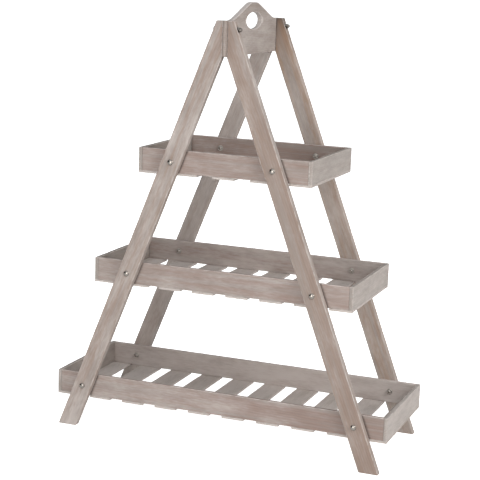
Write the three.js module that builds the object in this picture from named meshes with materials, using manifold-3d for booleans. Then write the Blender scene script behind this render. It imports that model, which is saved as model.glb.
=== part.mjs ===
// Tiered plant stand in limed wood: two A-shaped frames of slanting boards, a crest board
// on edge between their tops, and three slatted trays bolted between the frames.
// Millimetres, +Z up. The origin is on the floor under the middle of the stand, -Y is its
// front, and the trays run along X.

import * as THREE from 'three';
import { mergeVertices } from 'three/addons/utils/BufferGeometryUtils.js';
import Module from 'manifold-3d';

const wasm = await Module();
wasm.setup();

// ---- Driving dimensions ----

// Legs: four equal boards, cut level at the floor and at the top.
const legTopHeight = 1000;
const footHalfSpan = 408; // from the middle of the stand to a leg's outer edge, at the floor
const legTopHalfSpan = 21.5; // the same, at the level top
const legWidth = 43.5; // across the board, square to its length
const legThickness = 17;

// Crest board: runs from the front legs to the back legs, with a hump and a hand hole.
const crestThickness = 12;
const crestRise = 39; // the hump, above the leg tops
const crestFlatHalfLength = 8; // half of the level stretch on top of the hump
const crownRadius = 75; // rounds the hump's top into its flanks
const flareRadius = 105; // rounds the flanks into the shoulders
const handHoleLength = 101;
const handHoleHeight = 39.5;
const handHoleDepth = 42; // the hole's centre, below the top of the hump

// Trays: two rails, two ends that cover the rails' end grain, and slats nailed underneath.
const trayDepth = 301; // over the outer faces of the two rails
const railHeight = 54.5;
const railThickness = 9;
const endThickness = 9;
const slatWidth = 55;
const slatThickness = 5;
const topTrayLength = 427;
const middleTrayLength = 646;
const bottomTrayLength = 838;
const topTrayFloor = 644; // the floor of a tray is the upper face of its slats
const middleTrayFloor = 369.5;
const bottomTrayFloor = 77;

// Each board's faces are planed and their edges eased with a narrow chamfer.
const easedEdge = 1;

// Fasteners: steel bolts with low domed heads and washers.
const boltDiameter = 6;
const boltHoleDiameter = 6.8;
const headDiameter = 13;
const headHeight = 4;
const washerDiameter = 14;
const washerThickness = 1.2;
const nutAcrossFlats = 10;
const nutHeight = 5;
const threadEnd = 2; // stands out of the nut
const capNutHeight = 11;
const capNutBore = 9; // blind, so the nut's crown stays closed
const threadClearance = 0.3;
const crestBoltDepth = 19; // the crest bolts, below the leg tops
const seatDiameter = 15.4; // flat seat cut into a leg's slanting edge for a washer
const seatClearance = 0.3;

const trays = [
  { name: 'top', length: topTrayLength, floor: topTrayFloor, slatCount: 5 },
  { name: 'middle', length: middleTrayLength, floor: middleTrayFloor, slatCount: 8 },
  { name: 'bottom', length: bottomTrayLength, floor: bottomTrayFloor, slatCount: 10 },
];

// ---- Facets and finishes ----

const weldDistance = 1e-4; // corners nearer than this are one
const arcSides = 12; // facets of each arc in an outline
const roundSides = 16; // facets round a bolt, washer or bore
const domeSteps = 4; // rings from a dome's top to its rim
const flankReserve = 0.98; // the arcs' share of a flank, so that a straight stretch is left

const limedLeg = '#a89c94';
const limedCrest = '#a69c96';
const limedRail = '#a99c95';
const limedEnd = '#b2aba3';
const limedSlat = '#a0948c';
const brightSteel = '#b9b9b6';
const woodRoughness = 0.85;
const steelRoughness = 0.3;

// ---- Places that follow from them ----

const lean = (footHalfSpan - legTopHalfSpan) / legTopHeight;
const legLevelWidth = legWidth * Math.hypot(1, lean);
const legOuterX = (height) => footHalfSpan - lean * height;
const legCentreX = (height) => legOuterX(height) - legLevelWidth / 2;
const crestFaceX = crestThickness / 2;
const mitreFoot = (footHalfSpan - legLevelWidth - crestFaceX) / lean;
const railFaceY = trayDepth / 2;
const legCentreY = railFaceY + legThickness / 2;
const legFaceY = railFaceY + legThickness;
const trayBoltHeight = (tray) => tray.floor + railHeight / 2;
const crestBoltHeight = legTopHeight - crestBoltDepth;
const crestSeatX = legOuterX(crestBoltHeight + seatDiameter / 2);

// ---- Shapes ----

/** Merge the shared corners of a closed geometry and drop the triangles that collapse. */
function weld(geometry) {
  const bare = geometry.clone();
  bare.deleteAttribute('normal');
  bare.deleteAttribute('uv');
  const merged = mergeVertices(bare, weldDistance);
  const corners = merged.index.array;
  const kept = [];
  for (let i = 0; i < corners.length; i += 3) {
    const [a, b, c] = corners.slice(i, i + 3);
    if (a !== b && b !== c && c !== a) kept.push(a, b, c);
  }
  merged.setIndex(kept);
  return merged;
}

/** A closed geometry as a solid that can be joined and cut. */
function toSolid(geometry) {
  const welded = weld(geometry);
  return new wasm.Manifold(new wasm.Mesh({
    numProp: 3,
    vertProperties: new Float32Array(welded.attributes.position.array),
    triVerts: new Uint32Array(welded.index.array),
  }));
}

/** A solid as a geometry of flat-shaded triangles. */
function toGeometry(solid) {
  const { vertProperties, triVerts } = solid.getMesh();
  const indexed = new THREE.BufferGeometry();
  indexed.setAttribute('position', new THREE.BufferAttribute(vertProperties, 3));
  indexed.setIndex(new THREE.BufferAttribute(triVerts, 1));
  const geometry = indexed.toNonIndexed();
  geometry.computeVertexNormals();
  return geometry;
}

/** The geometry with each of the tools cut out of it. */
function cut(geometry, tools) {
  return toGeometry(tools.reduce((solid, tool) => solid.subtract(toSolid(tool)), toSolid(geometry)));
}

/** A rod along Y, centred on the origin: a cutting tool or the start of one. */
function rod(diameter, length) {
  return new THREE.CylinderGeometry(diameter / 2, diameter / 2, length, roundSides);
}

/** A round cutting tool along X, from x = fromX to fromX + reach, at this height. */
function drillX(diameter, fromX, reach, height) {
  const tool = rod(diameter, reach);
  return tool.rotateZ(Math.PI / 2).translate(fromX + reach / 2, 0, height);
}

/** A round cutting tool along Y, half of its reach on either side of y = 0. */
function drillY(diameter, x, reach, height) {
  return rod(diameter, reach).translate(x, 0, height);
}

/**
 * A board with this outline, centred on its thickness, with the edges of both broad faces
 * eased. The faces look along Z; turned along Y the outline lies in XZ, along X in YZ.
 */
function board(outline, thickness, faceAxis) {
  const geometry = new THREE.ExtrudeGeometry(outline, {
    depth: thickness - 2 * easedEdge,
    bevelThickness: easedEdge,
    bevelSize: easedEdge,
    bevelOffset: -easedEdge,
    bevelSegments: 1,
    curveSegments: arcSides,
  });
  geometry.translate(0, 0, easedEdge - thickness / 2);
  if (faceAxis === 'Z') return geometry;
  geometry.rotateX(Math.PI / 2);
  if (faceAxis === 'X') geometry.rotateZ(Math.PI / 2);
  return geometry;
}

/** A rectangle centred on the origin. */
function rectangle(length, height) {
  return new THREE.Shape([
    new THREE.Vector2(-length / 2, -height / 2),
    new THREE.Vector2(length / 2, -height / 2),
    new THREE.Vector2(length / 2, height / 2),
    new THREE.Vector2(-length / 2, height / 2),
  ]);
}

// ---- Pieces ----

const stand = new THREE.Group();

/** Put a geometry into the stand as a named piece, in wood or, with metalness 1, in steel. */
function addPiece(parent, name, geometry, color, metalness = 0) {
  const roughness = metalness ? steelRoughness : woodRoughness;
  const material = new THREE.MeshStandardMaterial({ color, roughness, metalness });
  const piece = new THREE.Mesh(geometry, material);
  piece.name = name;
  parent.add(piece);
  return piece;
}

/**
 * A right-hand leg. Its inner edge is mitred upright where it meets the crest board. It is
 * bored for one bolt per tray, and through its edge for the crest bolt, whose washer has a
 * flat seat there. A left-hand leg is the same board turned half way round.
 */
function legGeometry() {
  const outline = new THREE.Shape([
    new THREE.Vector2(footHalfSpan, 0),
    new THREE.Vector2(legTopHalfSpan, legTopHeight),
    new THREE.Vector2(crestFaceX, legTopHeight),
    new THREE.Vector2(crestFaceX, mitreFoot),
    new THREE.Vector2(footHalfSpan - legLevelWidth, 0),
  ]);
  const bores = trays.map((tray) => {
    const height = trayBoltHeight(tray);
    return drillY(boltHoleDiameter, legCentreX(height), 2 * legThickness, height);
  });
  bores.push(drillX(boltHoleDiameter, 0, footHalfSpan, crestBoltHeight));
  bores.push(drillX(seatDiameter, crestSeatX, legLevelWidth, crestBoltHeight));
  return cut(board(outline, legThickness, 'Y'), bores);
}

/** Four legs, with the left-hand ones turned round. */
function addLegs() {
  const geometry = legGeometry();
  for (const [row, side] of [['front', -1], ['back', 1]]) {
    for (const [hand, turn] of [['left', Math.PI], ['right', 0]]) {
      const leg = addPiece(stand, `${row}_${hand}_leg`, geometry, limedLeg);
      leg.position.y = side * legCentreY;
      leg.rotation.z = turn;
    }
  }
}

/**
 * The crest board's outline, in Y and Z: level shoulders over the leg tops, and between the
 * legs a hump whose straight flanks are tangent to a crown arc and a hollow flare arc.
 */
function crestOutline() {
  const spread = railFaceY - crestFlatHalfLength;
  const roundest = (spread ** 2 + crestRise ** 2) / (2 * crestRise);
  const fit = Math.min(1, (flankReserve * roundest) / (crownRadius + flareRadius));
  const crown = crownRadius * fit;
  const flare = flareRadius * fit;
  const fall = crown + flare - crestRise;
  const flank = Math.atan2(spread, fall) - Math.acos((crown + flare) / Math.hypot(spread, fall));
  const top = legTopHeight + crestRise;
  const up = Math.PI / 2;
  const outline = new THREE.Shape();
  outline.moveTo(-legFaceY, mitreFoot);
  outline.lineTo(legFaceY, mitreFoot);
  outline.lineTo(legFaceY, legTopHeight);
  outline.absarc(railFaceY, legTopHeight + flare, flare, -up, -up - flank, true);
  outline.absarc(crestFlatHalfLength, top - crown, crown, up - flank, up, false);
  outline.absarc(-crestFlatHalfLength, top - crown, crown, up, up + flank, false);
  outline.absarc(-railFaceY, legTopHeight + flare, flare, flank - up, -up, true);
  outline.lineTo(-legFaceY, legTopHeight);
  const hole = new THREE.Path();
  hole.absellipse(0, top - handHoleDepth, handHoleLength / 2, handHoleHeight / 2, 0, 2 * Math.PI, true);
  outline.holes.push(hole);
  return outline;
}

/** The crest board, bored for its two bolts. */
function addCrestBoard() {
  const drill = drillX(boltHoleDiameter, -crestThickness, 2 * crestThickness, crestBoltHeight);
  const bores = [-legCentreY, legCentreY].map((y) => drill.clone().translate(0, y, 0));
  addPiece(stand, 'crest_board', cut(board(crestOutline(), crestThickness, 'X'), bores), limedCrest);
}

/** One tray: rails bored for its bolts, ends over the rails' ends, and slats underneath. */
function addTray(tray) {
  const group = new THREE.Group();
  group.position.z = tray.floor;
  stand.add(group);

  const railLength = tray.length - 2 * endThickness;
  const boltX = legCentreX(trayBoltHeight(tray));
  const bores = [-boltX, boltX].map((x) => drillY(boltHoleDiameter, x, 2 * railThickness, 0));
  const rail = cut(board(rectangle(railLength, railHeight), railThickness, 'Y'), bores);
  for (const [row, side] of [['front', -1], ['back', 1]]) {
    const piece = addPiece(group, `${tray.name}_tray_${row}_rail`, rail, limedRail);
    piece.position.set(0, side * (railFaceY - railThickness / 2), railHeight / 2);
  }

  const end = board(rectangle(trayDepth, railHeight), endThickness, 'X');
  for (const [hand, side] of [['left', -1], ['right', 1]]) {
    const piece = addPiece(group, `${tray.name}_tray_${hand}_end`, end, limedEnd);
    piece.position.set((side * (tray.length - endThickness)) / 2, 0, railHeight / 2);
  }

  const slat = board(rectangle(slatWidth, trayDepth), slatThickness, 'Z');
  const pitch = (tray.length - slatWidth) / (tray.slatCount - 1);
  for (let i = 0; i < tray.slatCount; i += 1) {
    const piece = addPiece(group, `${tray.name}_tray_slat_${i + 1}`, slat, limedSlat);
    piece.position.set((slatWidth - tray.length) / 2 + i * pitch, 0, -slatThickness / 2);
  }
}

/** Half the outline of a dome that points to -Y, from its top on the axis to its rim at foot. */
function domeProfile(radius, height, foot) {
  return Array.from({ length: domeSteps + 1 }, (_, i) => {
    const turn = (i / domeSteps) * (Math.PI / 2);
    return new THREE.Vector2(radius * Math.sin(turn), foot - height * Math.cos(turn));
  });
}

/** A bolt along +Y with its washer, whose inner face is at y = 0, and a shank of this length. */
function boltProfile(shankLength) {
  const shankRadius = boltDiameter / 2;
  return [
    ...domeProfile(headDiameter / 2, headHeight, -washerThickness),
    new THREE.Vector2(washerDiameter / 2, -washerThickness),
    new THREE.Vector2(washerDiameter / 2, 0),
    new THREE.Vector2(shankRadius, 0),
    new THREE.Vector2(shankRadius, shankLength),
    new THREE.Vector2(0, shankLength),
  ];
}

/** A turned piece about the Y axis, from a profile that starts and ends on the axis. */
function turned(profile) {
  return weld(new THREE.LatheGeometry(profile, roundSides));
}

/** A nut's six-sided body about the Y axis, from foot upwards. */
function hexagon(height, foot) {
  const cornerRadius = nutAcrossFlats / Math.sqrt(3);
  return new THREE.CylinderGeometry(cornerRadius, cornerRadius, height, 6)
    .translate(0, foot + height / 2, 0);
}

/** A washer about the Y axis, from foot upwards. */
function washer(foot) {
  return rod(washerDiameter, washerThickness).translate(0, foot + washerThickness / 2, 0);
}

/** The bolts that hold the trays to the legs, heads outside, each with its nut run on. */
function addTrayBolts() {
  const grip = legThickness + railThickness;
  const shank = turned(boltProfile(grip + washerThickness + nutHeight + threadEnd));
  const nut = [washer(grip), hexagon(nutHeight, grip + washerThickness)];
  const geometry = toGeometry(nut.reduce((solid, part) => solid.add(toSolid(part)), toSolid(shank)));
  for (const tray of trays) {
    const height = trayBoltHeight(tray);
    for (const [row, side, turn] of [['front', -1, 0], ['back', 1, Math.PI]]) {
      for (const [hand, mirror] of [['left', -1], ['right', 1]]) {
        const name = `${tray.name}_tray_${row}_${hand}_bolt`;
        const bolt = addPiece(stand, name, geometry, brightSteel, 1);
        bolt.position.set(mirror * legCentreX(height), side * legFaceY, height);
        bolt.rotation.z = turn;
      }
    }
  }
}

/** The two bolts through the leg tops and the crest board, heads on the left. */
function addCrestBolts() {
  const seatX = crestSeatX + seatClearance;
  const grip = 2 * seatX;
  const bolt = turned(boltProfile(grip + washerThickness + capNutBore - threadClearance));

  const nutFoot = grip + washerThickness;
  const crownFoot = nutFoot + nutHeight;
  const crown = turned([
    new THREE.Vector2(0, crownFoot),
    new THREE.Vector2(nutAcrossFlats / 2, crownFoot),
    ...domeProfile(nutAcrossFlats / 2, capNutHeight - nutHeight, 0)
      .reverse()
      .map(({ x, y }) => new THREE.Vector2(x, crownFoot - y)),
  ]);
  const boreReach = capNutBore + washerThickness;
  const bore = rod(boltDiameter + 2 * threadClearance, 2 * boreReach).translate(0, grip, 0);
  const body = [hexagon(nutHeight, nutFoot), crown]
    .reduce((solid, part) => solid.add(toSolid(part)), toSolid(washer(grip)));
  const capNut = toGeometry(body.subtract(toSolid(bore)));

  for (const [row, side] of [['front', -1], ['back', 1]]) {
    for (const [kind, geometry] of [['bolt', bolt], ['cap_nut', capNut]]) {
      const piece = addPiece(stand, `crest_${row}_${kind}`, geometry, brightSteel, 1);
      piece.rotation.z = -Math.PI / 2;
      piece.position.set(-seatX, side * legCentreY, crestBoltHeight);
    }
  }
}

addLegs();
addCrestBoard();
trays.forEach(addTray);
addTrayBolts();
addCrestBolts();

export default stand;
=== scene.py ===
"""Tiered plant stand in limed fir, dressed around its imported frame.

The sections follow the stand as it is put together: legs, crest board, tray rails, tray ends,
slats, pins, tray bolts and crest bolts, and last the floor, the light and the camera.
Metres, +Z up, the front towards -Y.
"""

import bpy
import numpy as np
from mathutils import Matrix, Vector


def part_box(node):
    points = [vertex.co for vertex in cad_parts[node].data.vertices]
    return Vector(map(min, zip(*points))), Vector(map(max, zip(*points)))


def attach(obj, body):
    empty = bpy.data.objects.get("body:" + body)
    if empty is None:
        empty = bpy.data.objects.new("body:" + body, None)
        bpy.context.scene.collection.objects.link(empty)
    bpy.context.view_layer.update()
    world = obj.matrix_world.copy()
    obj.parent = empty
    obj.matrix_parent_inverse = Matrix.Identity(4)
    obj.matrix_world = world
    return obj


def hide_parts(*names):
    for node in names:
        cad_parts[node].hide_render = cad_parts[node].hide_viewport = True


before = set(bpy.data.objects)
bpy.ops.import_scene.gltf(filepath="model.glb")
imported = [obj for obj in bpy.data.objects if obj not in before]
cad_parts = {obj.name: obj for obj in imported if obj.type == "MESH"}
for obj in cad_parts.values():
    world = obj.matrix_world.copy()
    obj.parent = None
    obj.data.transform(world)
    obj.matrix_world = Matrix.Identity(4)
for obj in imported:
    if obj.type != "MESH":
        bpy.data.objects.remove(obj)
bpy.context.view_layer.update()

# ---- Legs ----
# Four fir boards that lean together in pairs, planed, sanded along their arrises and brushed
# with thin white lime wash. Each is cut level at the floor and at the top, mitred upright
# against the crest board, and bored for three tray bolts and one crest bolt.

LEG_WIDTH = 0.0435
LEG_TOP_HALF_SPAN = 0.0215
ARRIS_RADIUS = 0.0013
ARRIS_WANDER = 0.4  # share by which the sanded radius comes and goes
ARRIS_DING = 2.0  # how much further it goes where the arris has been knocked
ARRIS_LINE = 0.0032  # the first line of points in from an arris
SECTION_STEP = 0.008  # between the sections along a board
KINK_REACH = 0.0005  # the sections each side of the bend at the mitre's foot
END_TURNS = np.radians([81.0, 60.0, 30.0])  # directions round the arris at a board's end
RIPPLE_LENGTHS = np.array([0.017, 0.041, 0.113])
BOLT_BORE = 0.0034  # radius
SEAT_RADIUS = 0.0077  # flat seat for a crest bolt's washer in a leg's slanting edge
TRAYS = ("top", "middle", "bottom")

LEG_LIME = {"front_left": 0.20, "front_right": 0.04, "back_left": 0.40, "back_right": 0.30}
FOOT_LIME = {"front_left": 0.35, "front_right": 0.0, "back_left": 0.0, "back_right": 0.0}
FOOT_LIME_REACH = 0.09  # height over which the lime at a foot fades
TOP_LIME = {"front_left": 0.0, "front_right": 0.0, "back_left": 0.0, "back_right": -1.25}
TOP_LIME_REACH = 0.05
POOL_LIME = {"front_left": 0.16, "front_right": 0.14, "back_left": 0.0, "back_right": 0.1}
POOL_HEIGHT = {"front_left": 0.74, "front_right": 0.86, "back_left": 0.5, "back_right": 0.52}
POOL_REACH = 0.06  # half the length of a leg's one pool of thicker wash
EDGE_LIME_AND_LIGHT = {"front": 0.20, "back": 0.0}  # more lime on the outer edges, which the sander reached, and painted light there
SEAM_SHADE = 1.2  # painted shade in the joint along the crest board, drawn as less than no lime
SEAM_SHADE_REACH = 0.0016

FIR_PALE = "#9b877b"
FIR_DARK = "#7f6e65"
FIR_GREY = "#938983"
BACK_RIGHT_PALE, BACK_RIGHT_DARK = "#a78d78", "#897162"
LIME_WHITE = "#c1b8b3"
# dark colour of dirt, and of the painted shade in joints and along the legs
GRIME_AND_SHADE = "#3b3029"
FIR_RING = 0.0042  # between growth rings
FIR_PATCHES = {  # length and width of the patches, then their detail and its roughness
    "fibre": (0.13, 0.0016, 3.0, 0.6),  # real fibres are finer than the picture can show
    "streak": (0.45, 0.011, 3.0, 0.5),
    "blotch": (0.085, 0.022, 4.0, 0.62),
    "fleck": (0.016, 0.0032, 2.0, 0.5),
}
LOG_STRETCH = (0.1, 1, 1)  # the rings change ten times more slowly along the log
LOG_TURN = (0, 0.22, 0.16)  # radians by which the log leans in the board
WAVE_SPACING = np.pi / 10  # between the rings of Blender's wave texture at scale 1
RING_WOBBLE = {
    "Distortion": 4.0, "Detail": 3.0, "Detail Scale": 0.35, "Detail Roughness": 0.55,
}
LATE_WOOD_SHARES = (0.13, 0.32, 0.25)  # of the rings, the fibres and the flecks
LATE_WOOD_RANGE = (0.05, 0.65)  # their sum where the wood is at its palest and its darkest
GREYED_RANGE = (0.40, 0.66)  # of the streaks, from fresh to greyed wood
GREYED_MOST = 0.8
WASH_SHARES = (0.85, 0.20, 0.40)  # of the blotches, the fibres and the flecks
RING_WASH = -0.04
WASH_STARTS, WASH_SPREAD = 0.60, 0.9  # the sum at which the wash starts, and from none to full
END_WASH, END_WASH_REACH = 0.12, (0.0002, 0.0012)
ARRIS_WASH, ARRIS_WASH_REACH = 0.9, (0.0002, 0.0018)
ARRIS_WASH_WANDER = 0.0034
GRIME_AND_SHADE_RANGE = (-0.2, -1.6)  # lime below which dirt and painted shade set in, and where they cover the wood
LIMED_ROUGHNESS, LIMED_ROUGHNESS_SPREAD = 0.78, 0.08
LIMED_IOR = 1.45
RELIEF_SHARES = (0.25, 0.65, 0.25)  # of the rings, the fibres and the flecks
GRAIN_RELIEF, GRAIN_RELIEF_STRENGTH = 0.0004, 0.8  # the wire brush has worn the soft wood
TREE_LOW, TREE_HIGH = (0, -0.035, 0.03), (8, 0.035, 0.09)  # where in a tree boards are cut
SHARP_ANGLE = np.radians(40)

rng = np.random.default_rng(11)


def ripple(distance, lines):
    """Slow ups and downs between about -1 and 1, drawn anew for each of so many lines.

    Each is the mean of three sine waves of the distance, with random phases."""
    phases = rng.uniform(0, 2 * np.pi, (lines, len(RIPPLE_LENGTHS)))
    waves = np.sin(2 * np.pi * distance[:, None, None] / RIPPLE_LENGTHS + phases)
    return waves.mean(axis=2) * np.sqrt(len(RIPPLE_LENGTHS))


def board_section(half_width, half_thickness):
    """The loop round a board's cross-section, in the plane of its width and its thickness.

    A point lies at reach * half size + offset. out is the surface's direction there, and tuck
    the direction in which the core of a rounded arris is drawn in. corner numbers the arrises.
    """
    turns = np.radians([0.0, 30.0, 60.0, 90.0])
    halves = (half_width, half_thickness)
    reach, offset, out, tuck, corner = [], [], [], [], []
    for i, sign in enumerate(np.array([[1, 1], [-1, 1], [-1, -1], [1, -1]])):
        angles = turns + i * np.pi / 2
        arc = np.stack([np.cos(angles), np.sin(angles)], axis=1)
        along, across = i % 2, 1 - i % 2
        wide = halves[along] > 2 * ARRIS_LINE
        shares = np.array([1, 0.5, 0, -0.5, -1] if wide else [0.0])
        line = np.zeros((len(shares), 2))
        line[:, along] = sign[along] * np.where(np.abs(shares) == 1, -shares * ARRIS_LINE, 0)
        flat = np.full((len(shares), 2), sign[across], float)
        flat[:, along] = sign[along] * shares
        reach += [np.tile(sign, (len(arc), 1)), flat]
        offset += [np.zeros_like(arc), line]
        out += [arc, np.tile(arc[-1], (len(flat), 1))]
        tuck += [np.tile(sign, (len(arc), 1)), np.tile(arc[-1], (len(flat), 1))]
        corner += [i] * (len(arc) + len(flat))
    return [np.concatenate(part) for part in (reach, offset, out, tuck)] + [np.array(corner)]


def carry_board(length, half_width, half_thickness, radius=ARRIS_RADIUS, kinks=()):
    """Points (across, through, along) of a board: its section carried along its length.

    A point is rect + r (k out - tuck): rect is the sharp board, r the arris radius, which
    ripples along the board, and k falls from 1 to 0 as the surface turns in to an end, which
    it reaches at r (1 - sin turn) from the last section. half_width is a function of the
    place along the board, from 0 to length."""
    reach, offset, out, tuck, corner = board_section(np.max(half_width(0.0)), half_thickness)
    inner = np.linspace(0, length, round(length / SECTION_STEP) + 1)[1:-1]
    inner = np.unique(np.concatenate([inner, kinks]))
    turns = np.concatenate([END_TURNS, [0.0], 0 * inner, [0.0], -END_TURNS[::-1]])
    start = np.zeros(len(END_TURNS) + 1)
    station = np.concatenate([start, inner, start + length])
    wave = ripple(station, 4)
    sanded = 1 + ARRIS_WANDER * wave + ARRIS_DING * np.maximum(np.abs(wave) - 1.2, 0)
    r = radius * sanded[:, corner]
    k = np.cos(turns)[:, None]
    inward = np.where(station < length / 2, 1, -1)[:, None]
    rise = inward * (1 - np.sin(np.abs(turns)))[:, None]
    at_end = (station == 0) | (station == length)
    along = station[:, None] + np.where(at_end[:, None], rise * r, 0)
    halves = (half_width(along), half_thickness)
    across, through = (
        reach[:, i] * halves[i] + offset[:, i] + r * (k * out[:, i] - tuck[:, i]) for i in (0, 1)
    )
    return np.stack([across, through, along], axis=2)


def closed_mesh(name, points, ring=False):
    """A closed mesh over a grid of points whose columns run round the profile, or over a
    stack of such grids, one to each of several like bodies.

    Each point (i, j) is joined to (i + 1, j) and (i, j + 1). The first and the last row are
    filled, or joined to each other if the path is a ring."""
    index = np.arange(points[..., 0].size).reshape(points.shape[:-1])
    here = index if ring else index[..., :-1, :]
    onward = np.roll(index, -1, axis=-2) if ring else index[..., 1:, :]
    beside = [np.roll(part, -1, axis=-1) for part in (here, onward)]
    quads = np.stack([here, beside[0], beside[1], onward], axis=-1).reshape(-1, 4).tolist()
    ends = np.stack([index[..., 0, ::-1], index[..., -1, :]]).reshape(-1, index.shape[-1])
    caps = [] if ring else ends.tolist()
    mesh = bpy.data.meshes.new(name)
    mesh.from_pydata(points.reshape(-1, 3).tolist(), [], quads + caps)
    piece = bpy.data.objects.new(name, mesh)
    bpy.context.scene.collection.objects.link(piece)
    return piece


def round_bar(name, start, end, radius, sides=32):
    """A plain round bar between two points: a cutting tool."""
    start, end = np.array(start), np.array(end)
    axis = (end - start) / np.linalg.norm(end - start)
    side = np.cross(axis, [axis[1], axis[2], axis[0]])
    side /= np.linalg.norm(side)
    angles = np.linspace(0, 2 * np.pi, sides, endpoint=False)[:, None]
    circle = radius * (np.cos(angles) * side + np.sin(angles) * np.cross(axis, side))
    return closed_mesh(name, np.stack([start + circle, end + circle]))


def cut(piece, tools):
    """Take closed tools out of a piece with exact booleans, and drop the tools."""
    for tool in tools:
        modifier = piece.modifiers.new("cut", "BOOLEAN")
        modifier.operation = "DIFFERENCE"
        modifier.solver = "EXACT"
        modifier.object = tool
    graph = bpy.context.evaluated_depsgraph_get()
    whole = piece.data
    piece.data = bpy.data.meshes.new_from_object(piece.evaluated_get(graph))
    piece.data.name = whole.name
    piece.modifiers.clear()
    bpy.data.meshes.remove(whole)
    for tool in tools:
        bpy.data.objects.remove(tool)


def points_of(piece):
    """The mesh's points as an array of rows (x, y, z)."""
    flat = np.empty(3 * len(piece.data.vertices))
    piece.data.vertices.foreach_get("co", flat)
    return flat.reshape(-1, 3)


def store(piece, name, rows):
    """Keep three numbers for each point of the mesh, for its material to read."""
    attribute = piece.data.attributes.new(name, "FLOAT_VECTOR", "POINT")
    attribute.data.foreach_set("vector", np.asarray(rows, float).ravel())


def dress_board(piece, node, slot, material, grain, depths, lime):
    """Finish a board that stands for a CAD node.

    grain holds each point's place along, across and through the board, and depths its
    distance from the nearest face in the same three directions. On a box the nearest arris is
    then as far off as the second smallest depth. The grain is moved by a random amount, so
    that each board is cut from its own place in a tree whose pith runs along its first axis.
    """
    tree = rng.uniform(TREE_LOW, TREE_HIGH)
    store(piece, "grain", np.stack(grain, axis=1) + tree)
    nearest = np.sort(np.stack(depths, axis=1), axis=1)[:, 1]
    store(piece, "wear", np.stack([nearest, depths[0], lime + 0 * depths[0]], axis=1))
    finish_piece(piece, slot, material, node)


def finish_piece(piece, slot, material, *nodes):
    """Give a piece its material, smooth it between its sharp edges, and tie it to the frame."""
    piece.data.materials.clear()
    piece.data.materials.append(material)
    piece.data.shade_smooth()
    piece.data.set_sharp_from_angle(angle=SHARP_ANGLE)
    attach(piece, "root")
    if nodes:
        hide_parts(*nodes)


def linear(hex_colour):
    """An sRGB hex colour as linear red, green, blue and alpha.

    A channel c becomes c / 12.92 up to 0.04045, and ((c + 0.055) / 1.055) ^ 2.4 above."""
    c = np.array([int(hex_colour[i : i + 2], 16) for i in (1, 3, 5)]) / 255
    return (*np.where(c <= 0.04045, c / 12.92, ((c + 0.055) / 1.055) ** 2.4), 1.0)


def add(material, kind, inputs, **settings):
    """Add a shader node, set its properties, fill its inputs with values or links from other
    nodes' outputs, and return its outputs."""
    tree = material.node_tree
    made = tree.nodes.new("ShaderNode" + kind)
    for name, value in settings.items():
        setattr(made, name, value)
    for socket, value in inputs.items():
        if isinstance(value, bpy.types.NodeSocket):
            tree.links.new(value, made.inputs[socket])
        else:
            made.inputs[socket].default_value = value
    return made.outputs


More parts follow.
